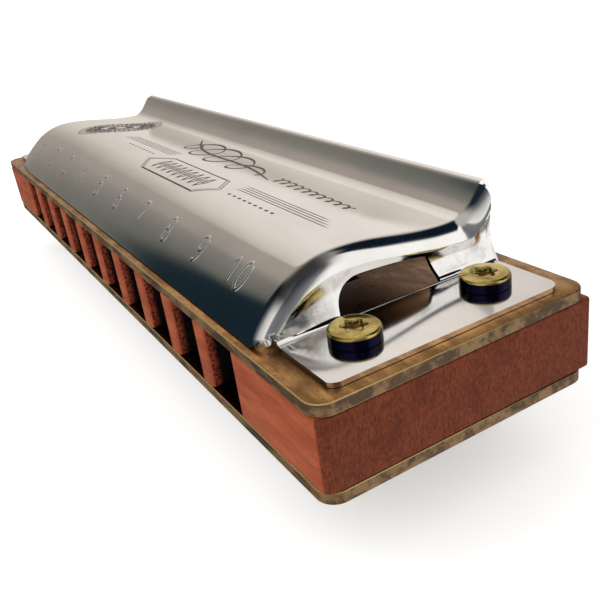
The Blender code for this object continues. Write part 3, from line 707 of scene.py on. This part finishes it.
def thicken(piece):
    """Gives an open skin the thickness of the sheet on its inner side, with crisp cut edges."""
    normals, centres = (np.empty(3 * len(piece.data.polygons)) for _ in range(2))
    piece.data.polygons.foreach_get("normal", normals)
    piece.data.polygons.foreach_get("center", centres)
    out = centres.reshape(-1, 3) - (0, 0, MID_HEIGHT * MM)
    if (normals.reshape(-1, 3) * out).sum() < 0:
        piece.data.flip_normals()
    wall = piece.modifiers.new("sheet", "SOLIDIFY")
    wall.thickness = SHEET * MM
    wall.offset = -1
    solid = bpy.data.meshes.new_from_object(
        piece.evaluated_get(bpy.context.evaluated_depsgraph_get()))
    piece.modifiers.remove(wall)
    piece.data = solid
    solid.set_sharp_from_angle(angle=np.radians(50))


turn_over = np.array((-1, 1, -1))
for cover, turned_over in (("upper_cover", False), ("lower_cover", True)):
    middle = np.array((0, 0, MID_HEIGHT))
    placed = (cover_points - middle) * turn_over + middle if turned_over else cover_points
    thicken(add_piece(cover + "_sheet", placed, cover_faces, steel, "polished_steel", [cover],
                      angle=180, marks=cover_marks))


# ---- Raised numerals -------------------------------------------------------------------------
# The hole numbers are pressed up out of the cover's shoulder, one over each hole. Each figure
# is a thin rounded bead that follows its strokes over the steel.

def straight(knots, steps=6):
    """A line of straight strokes through its knots, with points set evenly along each."""
    knots = np.array(knots, float)
    t = np.linspace(0, 1, steps, endpoint=False)[None, :, None]
    line = knots[:-1, None] * (1 - t) + knots[1:, None] * t
    return np.concatenate([line.reshape(-1, 2), knots[-1:]])


def oval(x, y, half_x, half_y):
    """A closed oval drawn from its top."""
    return arc(0, 0, 1, 90, 450, 32) * (half_x, half_y) + (x, y)


SIX = [oval(0.5, 0.44, 0.40, 0.44),
       through([(0.84, 1.50), (0.56, 1.56), (0.26, 1.24), (0.10, 0.72), (0.10, 0.44)])]
FIGURES = {
    "0": [oval(0.5, 0.8, 0.40, 0.8)],
    "1": [straight([(0.18, 1.22), (0.52, 1.58), (0.52, 0.0)])],
    "2": [through([(0.08, 1.18), (0.18, 1.48), (0.50, 1.60), (0.84, 1.44), (0.88, 1.10),
                   (0.62, 0.70), (0.06, 0.0)]),
          straight([(0.06, 0.0), (0.94, 0.0)])],
    "3": [through([(0.10, 1.38), (0.34, 1.58), (0.68, 1.54), (0.84, 1.24), (0.70, 0.94),
                   (0.40, 0.86)]),
          through([(0.40, 0.86), (0.76, 0.76), (0.92, 0.44), (0.74, 0.08), (0.38, 0.0),
                   (0.06, 0.22)])],
    "4": [straight([(0.70, 0.0), (0.70, 1.60), (0.04, 0.48), (0.96, 0.48)])],
    "5": [straight([(0.86, 1.58), (0.22, 1.58), (0.14, 0.90)]),
          through([(0.14, 0.90), (0.46, 1.02), (0.80, 0.88), (0.92, 0.50), (0.74, 0.10),
                   (0.36, 0.0), (0.06, 0.18)])],
    "6": SIX,
    "7": [straight([(0.06, 1.58), (0.94, 1.58), (0.36, 0.0)])],
    "8": [oval(0.5, 1.20, 0.31, 0.38), oval(0.5, 0.41, 0.40, 0.41)],
    "9": [np.array((1.0, 1.6)) - stroke for stroke in SIX],
}


def on_roof(line):
    """Points on the cover's roof and the way out of it, from (x, distance along the profile)."""
    depth, height, slope = on_profile(line[:, 1])
    points = np.c_[line[:, 0], depth + MOUTH_Y, height + MID_HEIGHT]
    return points, np.c_[0 * slope, -np.sin(slope), np.cos(slope)]


def bead(line, width, proud, sunk, swell=1.0):
    """A bead laid along a line on the roof: a half oval, width across and proud high, on a flat
    foot sunk into the sheet. An open line's bead closes to nothing at both ends."""
    points, out = on_roof(line)
    along = np.gradient(points, axis=0)
    along /= np.linalg.norm(along, axis=1)[:, None]
    across = np.cross(out, along)
    run = np.r_[0, np.cumsum(np.linalg.norm(np.diff(points, axis=0), axis=1))]
    closed = np.hypot(*(line[0] - line[-1])) < 1e-6
    ends = 1 + 0 * run if closed else np.minimum(run, run[-1] - run) / (width / 2)
    share = np.sqrt(1 - (1 - np.clip(ends, 0, 1)) ** 2) * swell
    a = np.radians([0, 30, 60, 90, 120, 150, 180])
    side = np.r_[np.cos(a), -1.0, 1.0] * width / 2
    lift = np.r_[proud * np.sin(a) ** 0.6, -sunk, -sunk]
    tall = np.where(lift > 0, share[:, None] ** 0.5, 1) * lift
    wide = share[:, None] * side
    return points[:, None] + across[:, None] * wide[..., None] + out[:, None] * tall[..., None]


def strokes_mesh(beads):
    """Joins beads into one list of points and faces. A bead's first and last rings are shut."""
    points, faces, count = [], [], 0
    for grid in beads:
        rows, columns = grid.shape[:2]
        first, last = (np.repeat(end.mean(axis=1, keepdims=True), columns, axis=1)
                       for end in (grid[:1], grid[-1:]))
        points.append(np.concatenate([first, grid, last]).reshape(-1, 3))
        faces.append(grid_faces(rows + 2, columns, wrap=True, start=count))
        count += (rows + 2) * columns
    return np.concatenate(points), np.concatenate(faces)


FIGURE_SIZE, FIGURE_PITCH = 1.62, 1.12 * 1.62
FIGURE_FOOT = np.interp(2.35, profile[:, 0], profile_run)
figure_beads = []
for number, x in enumerate(HOLE_X, start=1):
    text = str(number)
    for place, figure in enumerate(text):
        left = x - 0.3 + (place - len(text) / 2) * FIGURE_PITCH
        for stroke in FIGURES[figure]:
            line = stroke * (FIGURE_SIZE * 0.95, FIGURE_SIZE) + (left, FIGURE_FOOT)
            figure_beads.append(bead(line, 0.40, 0.06, 0.08))
add_piece("raised_numerals", *strokes_mesh(figure_beads), steel, "polished_steel", [], angle=60)


# ---- Etched ornament -------------------------------------------------------------------------
# A plain line ornament is etched dark into the roof: a wreath at the low end, pinstripes, a
# tablet of lozenges in the middle and a looped flourish behind it. There is no lettering.

etching = Finish("dark_etching", {"Metallic": 1.0, "IOR": 1.5})
etched = etching.noise(0.5, 3)
etching.feed("Base Color", etching.mix(
    etching.step(etched, 0.3, 0.7), srgb(52, 50, 50), srgb(84, 80, 78)))
etching.feed("Roughness", 0.35 + 0.2 * etched)
etching.emboss(etched, 0.004)


def by_depth(points):
    """Turns (x, depth) into (x, distance along the profile)."""
    points = np.array(points, float)
    return np.c_[points[:, 0], np.interp(points[:, 1], profile[:, 0], profile_run)]


ornament = []


def etch(line, width, swell=1.0):
    """Adds a thin dark line, given as (x, depth): a bead that stands only a hair proud."""
    ornament.append(bead(by_depth(line), width, 0.012, 0.05, swell))


for depth in (12.3, 12.75, 13.2, 13.65):
    etch(straight([(-20.5 + 0.8 * (depth - 12.3), depth), (-1.5, depth)], 12), 0.13)
for depth in (11.0, 11.45, 11.9, 12.35):
    etch(straight([(18.6, depth), (36.5 - 1.4 * (depth - 11.0), depth)], 12), 0.13)
tablet = np.array([(-2.6, 9.6), (0.4, 7.5), (15.6, 7.5), (18.2, 9.6), (15.6, 11.9), (0.4, 11.9),
                   (-2.6, 9.6)])
tablet_centre = np.array((7.8, 9.7))
for shrink in (1.0, 0.95):
    etch(straight((tablet - tablet_centre) * shrink + tablet_centre, 10), 0.12)
corners = np.linspace(0, 2 * np.pi, 5)
for x in np.arange(1.6, 15.0, 1.55):
    lozenge = np.c_[x + 0.55 * np.sin(corners), 9.7 + 1.35 * np.cos(corners)]
    etch(straight(lozenge, 5), 0.24)
    etch(straight([(x, 9.25), (x, 10.15)], 4), 0.3)
for first, last, depth, width in ((20.0, 29.0, 9.6, 0.32), (-14.0, -4.5, 10.9, 0.28)):
    for x in np.arange(first, last, 1.1):
        etch(straight([(x, depth), (x + 0.7, depth)], 3), width)

a = np.linspace(0, 2 * np.pi, 97)
wreath_centre, wreath_half = np.array((-28.8, 14.4)), (4.2, 6.4)
for grow in (1.0, 0.86, 0.42):
    etch(wreath_centre + grow * np.c_[np.cos(a), np.sin(a)] * wreath_half, 0.14)
for turn in np.radians(np.arange(0, 360, 10)):
    out = np.array((np.cos(turn), np.sin(turn))) * wreath_half
    across = np.array((-out[1], out[0])) / 11
    leaf = [0.48 * out, 0.64 * out + across, 0.82 * out, 0.64 * out - across, 0.48 * out]
    etch(wreath_centre + through(leaf, 6, closed=True), 0.26)
    etch(wreath_centre + straight([0.90 * out, 0.97 * out], 3), 0.34)
    etch(wreath_centre + straight([0.12 * out, 0.36 * out + 0.6 * across], 4), 0.22)

u = np.linspace(0, 1, 320)
taper = np.sin(np.pi * u) ** 0.4
swing = 9 * np.pi * u ** 0.85
flourish = np.c_[-8.0 + 22 * u + 3.6 * np.sin(swing) * taper * (1 - 0.35 * u),
                 17.9 - 1.6 * u + 3.5 * np.cos(swing) * taper * (1 - 0.5 * u)]
etch(flourish, 0.56, 0.4 + 0.6 * np.cos(swing + 0.6) ** 2)
sweep = np.c_[-10 + 27 * u, 19.8 - 4.2 * u - 2.4 * np.sin(1.5 * np.pi * u) * (1 - u)]
etch(sweep, 0.55, 0.35 + 0.65 * np.sin(np.pi * u))
ripple = np.c_[17.0 + 15 * u + 0.45 * np.sin(20 * np.pi * u),
               16.6 - 0.5 * u + 0.75 * np.cos(20 * np.pi * u) * (1 - 0.4 * u)]
etch(ripple, 0.26)
add_piece("etched_ornament", *strokes_mesh(ornament), etching, "polished_steel", [], angle=60)


# ---- Clamping screws and sleeve nuts ----------------------------------------------------------
# Turned brass screws with a low round head and a six-lobed recess. Each one screws down into a
# sleeve nut whose matching head bears on the lower flange.

screw_brass = Finish("screw_brass", {"Metallic": 1.0, "IOR": 1.5})
lathe_marks = screw_brass.noise(0.10, 2, rough=0.6)
wear = screw_brass.noise(0.9, 4)
recess = screw_brass.attribute("recess")
gold = screw_brass.mix(screw_brass.step(wear, 0.40, 0.66), srgb(206, 184, 110), srgb(178, 154, 84))
# The recess is painted near black, most at mid depth: painted shade in the recess.
gold = screw_brass.mix(recess * 0.9, gold, srgb(48, 36, 24))
# The upright sides of screw and nut heads are painted dark navy: a painted reflection.
gold = screw_brass.mix(screw_brass.attribute("wall"), gold, srgb(20, 18, 44))
screw_brass.feed("Base Color", gold)
screw_brass.feed("Roughness", 0.09 + 0.08 * wear + 0.06 * lathe_marks + 0.15 * recess)
screw_brass.emboss(0.4 * lathe_marks + wear, 0.01)

SCREW_SEAT = 4.65
HEAD_TOP = 5.65
HEAD_RADIUS = 2.05


def lobed_head(sides, recess_radius, lobe_depth, lobes, recess_depth, below, radius, top):
    """A turned head with a lobed recess: the profile is carried round, and inside the recess
    its radius is r * (1 + lobe_depth * cos(lobes * angle))."""
    shoulder = rounded(
        [below[-1], (radius, top - 0.04), (recess_radius * 1.32, top + 0.02)], 0.3, 8)
    outside = np.vstack([below[:-1], shoulder])
    inner = np.array([(1.22, 0.0), (1.1, 0.01), (1.04, 0.06), (0.98, 0.2), (0.93, 0.7),
                      (0.88, 0.95), (0.6, 1.0), (0.3, 1.0), (0.0, 1.0)])
    a = np.linspace(0, 2 * np.pi, sides, endpoint=False)
    rim = recess_radius * inner[:, 0][:, None]
    lobed = np.clip((1.32 - inner[:, 0]) / 0.2, 0, 1)[:, None] * lobe_depth
    rim = rim * (1 + lobed * np.cos(lobes * a))
    radii = np.vstack([np.zeros((1, sides)), outside[:, :1] + 0 * a, rim])
    heights = np.r_[outside[0, 1], outside[:, 1], top + 0.02 - recess_depth * inner[:, 1]]
    points = np.stack([radii * np.cos(a), radii * np.sin(a), heights[:, None] + 0 * a], axis=-1)
    # The upright side of the head, which gets a painted dark reflection.
    upright = (outside[:, 0] > radius - 0.01) & (outside[:, 1] < top - 0.2)
    marks = {"recess": np.r_[np.zeros(len(outside) + 1), np.sin(np.pi * inner[:, 1])],
             "wall": np.r_[0.0, upright, 0 * inner[:, 0]]}
    marks = {mark: np.repeat(values, sides) for mark, values in marks.items()}
    return points.reshape(-1, 3), grid_faces(len(radii), sides, wrap=True), marks


screw_below = [(0.8, -4.0), (1.0, -3.8), (1.0, SCREW_SEAT), (HEAD_RADIUS, SCREW_SEAT)]
screw_points, screw_faces, screw_marks = lobed_head(
    96, 0.86, 0.17, 6, 0.4, screw_below, HEAD_RADIUS, HEAD_TOP)
nut_profile = rounded([(1.15, -4.3), (1.15, -2.25), (1.55, -2.25), (1.55, -SCREW_SEAT),
                       (HEAD_RADIUS, -SCREW_SEAT), (HEAD_RADIUS, -HEAD_TOP),
                       (0.4, -HEAD_TOP - 0.02)], 0.2)
nut_points, nut_faces = turned(nut_profile, 64)
nut_reach = np.hypot(nut_points[:, 0], nut_points[:, 1])
# The upright side of the nut head, which gets a painted dark reflection.
nut_side_reflection = (nut_reach > HEAD_RADIUS - 0.01).astype(float)
place_names = [f"{side}_{row}" for side in ("left", "right") for row in ("front", "rear")]
for place, (x, y) in zip(place_names, clamp_centres()):
    centre = (x, y, MID_HEIGHT)
    add_piece(f"cover_screw_{place}_head", screw_points + centre, screw_faces, screw_brass,
              "screw_brass", [f"cover_screw_{place}"], marks=screw_marks)
    add_piece(f"cover_nut_{place}_head", nut_points + centre, nut_faces, screw_brass,
              "screw_brass", [f"cover_nut_{place}"], marks={"wall": nut_side_reflection})


# ---- Reed plate screws -----------------------------------------------------------------------
# Five small steel screws with cross recesses pin both plates to the comb: two in front, beside
# the end holes, and three behind the chambers.

screw_steel = Finish("screw_steel", {"Metallic": 1.0, "IOR": 2.0})
brushing = screw_steel.noise(0.15, 3, rough=0.6)
screw_steel.feed("Base Color", screw_steel.mix(
    screw_steel.step(brushing, 0.4, 0.7), srgb(196, 194, 190), srgb(140, 136, 130)))
screw_steel.feed("Roughness", 0.24 + 0.2 * brushing)
screw_steel.emboss(brushing, 0.02)
pin_below = [(0.45, -4.35), (0.6, -4.2), (0.6, 4.2), (1.2, 4.2)]
pin_points, pin_faces, _ = lobed_head(48, 0.42, 0.4, 4, 0.3, pin_below, 1.2, 4.78)
for number, (x, depth) in enumerate(PIN_PLACES, start=1):
    add_piece(f"reed_plate_screw_{number}_head", pin_points + (x, MOUTH_Y + depth, MID_HEIGHT),
              pin_faces, screw_steel, "screw_steel", [f"reed_plate_screw_{number}"])


# ---- Stage: floor, light and camera ----------------------------------------------------------
# A plain pale floor, soft light from above and the front left, and a studio that the polished
# metal mirrors: pale walls all round, one dark gap at the front left and one high at the back.

stage_mesh = bpy.data.meshes.new("floor")
stage_mesh.from_pydata([(-3, -3, 0), (3, -3, 0), (3, 3, 0), (-3, 3, 0)], [], [(0, 1, 2, 3)])
floor = bpy.data.objects.new("floor", stage_mesh)
bpy.context.scene.collection.objects.link(floor)
floor.visible_glossy = False
paper = Finish("pale_paper", {"Roughness": 0.9, "Specular IOR Level": 0.1,
                              "Emission Color": (1, 1, 1, 1), "Emission Strength": 0.3})
paper.feed("Base Color", paper.mix(paper.noise(60, 2), srgb(244, 243, 241), srgb(248, 247, 246)))
stage_mesh.materials.append(paper.material)

world = bpy.data.worlds.new("studio")
bpy.context.scene.world = world
world.use_nodes = True
world.cycles.sampling_method = "NONE"
sky = Nodes(world.node_tree)
toward = sky.node("TexCoord", output="Generated")


def lit(red, green, blue):
    """A sky colour that polished steel shows as the given screen colour."""
    return tuple(channel * 1.2 for channel in srgb(red, green, blue)[:3]) + (1.0,)


along_x, along_y = (sky.node("SeparateXYZ", inputs={0: toward}, output=axis) for axis in "XY")
rise = sky.node("SeparateXYZ", inputs={0: toward}, output="Z")
bearing = along_y.math("ARCTAN2", along_y, along_x) * (1 / (2 * np.pi)) + 0.5
bearing = bearing - rise.math("MAXIMUM", rise - 0.28, 0.0) * 0.073  # the walls lean, higher up
panels = [(-180, (157, 148, 139)), (-172, (150, 142, 136)), (-165, (119, 117, 110)),
          (-158.5, (98, 98, 92)), (-157, (70, 75, 72)), (-155, (22, 36, 44)), (-138, (20, 32, 42)),
          (-118, (96, 98, 100)), (-90, (186, 184, 182)), (-52, (226, 224, 220)),
          (-40, (118, 118, 120)), (-6, (104, 106, 112)), (10, (122, 122, 122)),
          (21, (244, 243, 240)), (48, (250, 249, 247)), (72, (128, 126, 124)),
          (110, (150, 146, 140)), (138, (228, 220, 213)), (150, (222, 214, 207)),
          (160, (213, 205, 197)), (168, (200, 191, 182)), (176, (172, 162, 152)),
          (180, (157, 148, 139))]
stops = [((azimuth + 180) / 360, lit(*shade)) for azimuth, shade in panels]
colour = sky.node("ValToRGB", {"stops": stops}, {0: bearing})
colour = sky.mix(sky.step(rise, 0.74, 0.95), colour, lit(176, 172, 166))
dark_gap = sky.step(rise, 0.48, 0.64) * (1.0 - sky.step(rise, 0.84, 0.93))
dark_gap = dark_gap * sky.step(bearing, 0.618, 0.640) * (1.0 - sky.step(bearing, 0.80, 0.86))
colour = sky.mix(dark_gap, colour, lit(10, 22, 34))
mirror_ray = sky.node("LightPath", output="Is Glossy Ray")
camera_ray = sky.node("LightPath", output="Is Camera Ray")
seen = sky.mix(mirror_ray, (0.76, 0.76, 0.76, 1), colour)
seen = sky.mix(camera_ray, seen, (1.0, 1.0, 1.0, 1))
background = world.node_tree.nodes["Background"]
world.node_tree.links.new(seen.link, background.inputs["Color"])


def add_light(name, azimuth, elevation, spread, power):
    """A soft light from one direction, in degrees from +X, that is spread degrees wide."""
    lamp = bpy.data.lights.new(name, "SUN")
    lamp.angle = np.radians(spread)
    lamp.energy = power
    holder = bpy.data.objects.new(name, lamp)
    bpy.context.scene.collection.objects.link(holder)
    a, e = np.radians(azimuth), np.radians(elevation)
    back = np.array((np.cos(a) * np.cos(e), np.sin(a) * np.cos(e), np.sin(e)))
    side = np.cross((0, 0, 1), back) / np.linalg.norm(np.cross((0, 0, 1), back))
    holder.matrix_world = Matrix([[*row, spot] for row, spot in zip(
        np.c_[side, np.cross(back, side), back], back)] + [[0, 0, 0, 1]])
    holder.visible_glossy = False


add_light("key_light", -125, 34, 60, 0.9)
add_light("top_light", 60, 80, 120, 0.6)

CAMERA_PLACE = np.array((86.325, -30.737, MID_HEIGHT + 30.741)) * MM
AZIMUTH, ELEVATION, ROLL = np.radians((63.07, 25.12, 8.54))
back = np.array((np.sin(AZIMUTH) * np.cos(ELEVATION), -np.cos(AZIMUTH) * np.cos(ELEVATION),
                 np.sin(ELEVATION)))
level = np.array((np.cos(AZIMUTH), np.sin(AZIMUTH), 0))
upright = np.cross(back, level)
right = np.cos(ROLL) * level - np.sin(ROLL) * upright
lens = bpy.data.cameras.new("camera")
lens.sensor_width = 36
lens.lens = 45.09
lens.clip_start = 0.001
camera = bpy.data.objects.new("camera", lens)
bpy.context.scene.collection.objects.link(camera)
camera.matrix_world = Matrix([[*row, spot] for row, spot in zip(
    np.c_[right, np.cross(back, right), back], CAMERA_PLACE)] + [[0, 0, 0, 1]])
bpy.context.scene.camera = camera
bpy.context.scene.view_settings.view_transform = "Standard"
